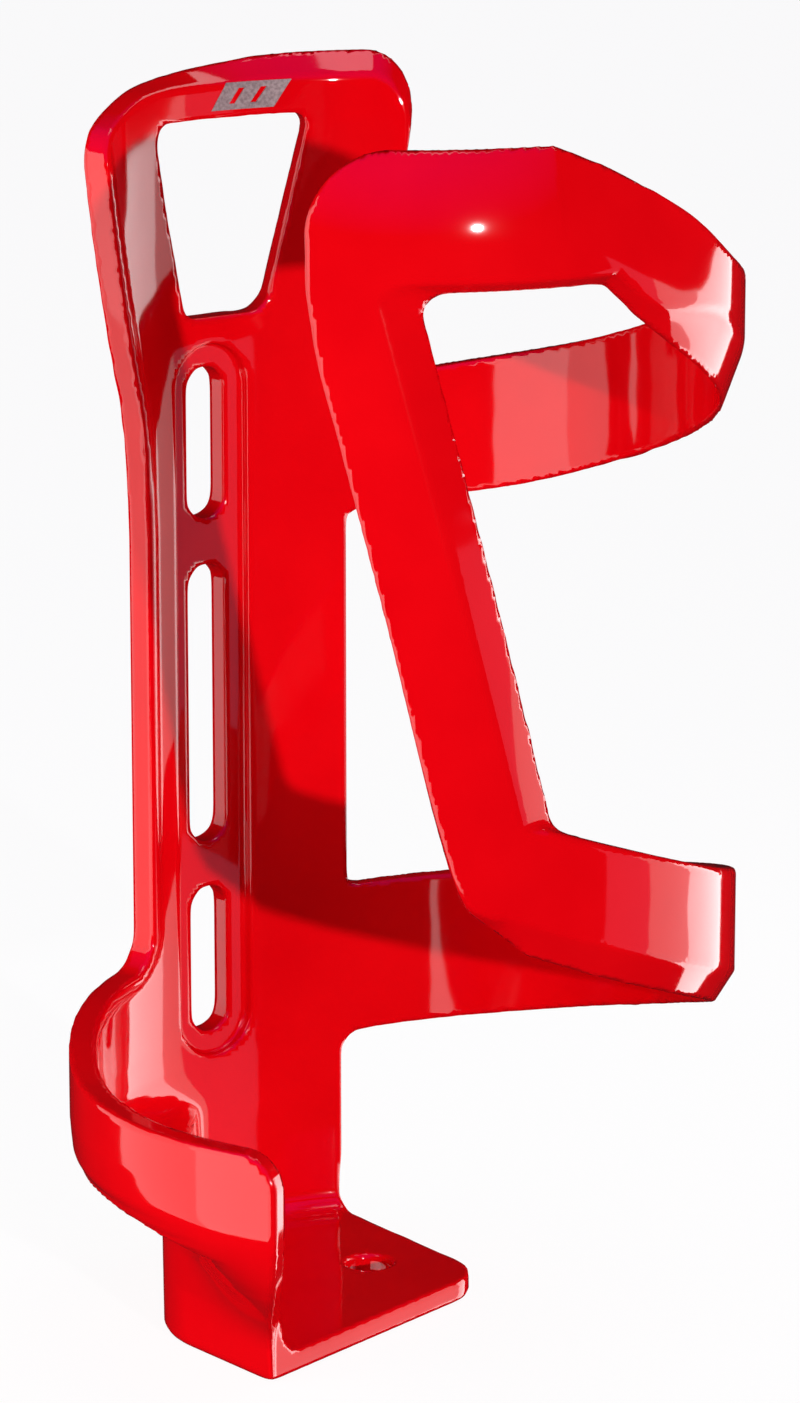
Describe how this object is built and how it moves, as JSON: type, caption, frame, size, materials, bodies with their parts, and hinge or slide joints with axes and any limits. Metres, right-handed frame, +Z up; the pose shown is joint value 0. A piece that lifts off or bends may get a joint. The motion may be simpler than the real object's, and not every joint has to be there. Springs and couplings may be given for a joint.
{
  "type": "water bottle cage",
  "caption": "Side-entry bicycle bottle cage: slotted back rail, flared head with a window, wrap-round arm with a slanted strut, low side hook and a foot tab.",
  "frame": {"origin": "middle of the bolt pattern on the rail's back face, which rests on the bicycle tube", "axes": "+Z up along the bottle, +Y towards the bicycle tube, +X to the right as the rider looks at the tube"},
  "size_m": [0.0778, 0.0783, 0.1468],
  "materials": {
    "red_plastic": "highly polished saturated red moulding with a clear mirror-like gloss",
    "patch_ink": "thin grey-silver printed patch, satin"
  },
  "bodies": {
    "cage_back": {"head_frame": "red_plastic", "printed_patch": "patch_ink", "back_plate": "red_plastic", "mounting_rail": "red_plastic", "side_hook": "red_plastic", "hook_skirt": "red_plastic", "foot_wall": "red_plastic", "foot_tab": "red_plastic", "upper_band_root": "red_plastic", "lower_band_root": "red_plastic"},
    "clip_arm": {"upper_band": "red_plastic", "upper_clasp": "red_plastic", "front_strut": "red_plastic", "strut_foot": "red_plastic", "lower_band": "red_plastic", "lower_clasp": "red_plastic"}
  },
  "joints": [
    {"name": "arm_flex", "type": "hinge", "parent": "cage_back", "child": "clip_arm", "pos_m": [0.02702, -0.01142, 0], "axis": [0, 0, 1], "range_deg": [0, 7], "stiffness_Nm_per_rad": 4.5}
  ]
}
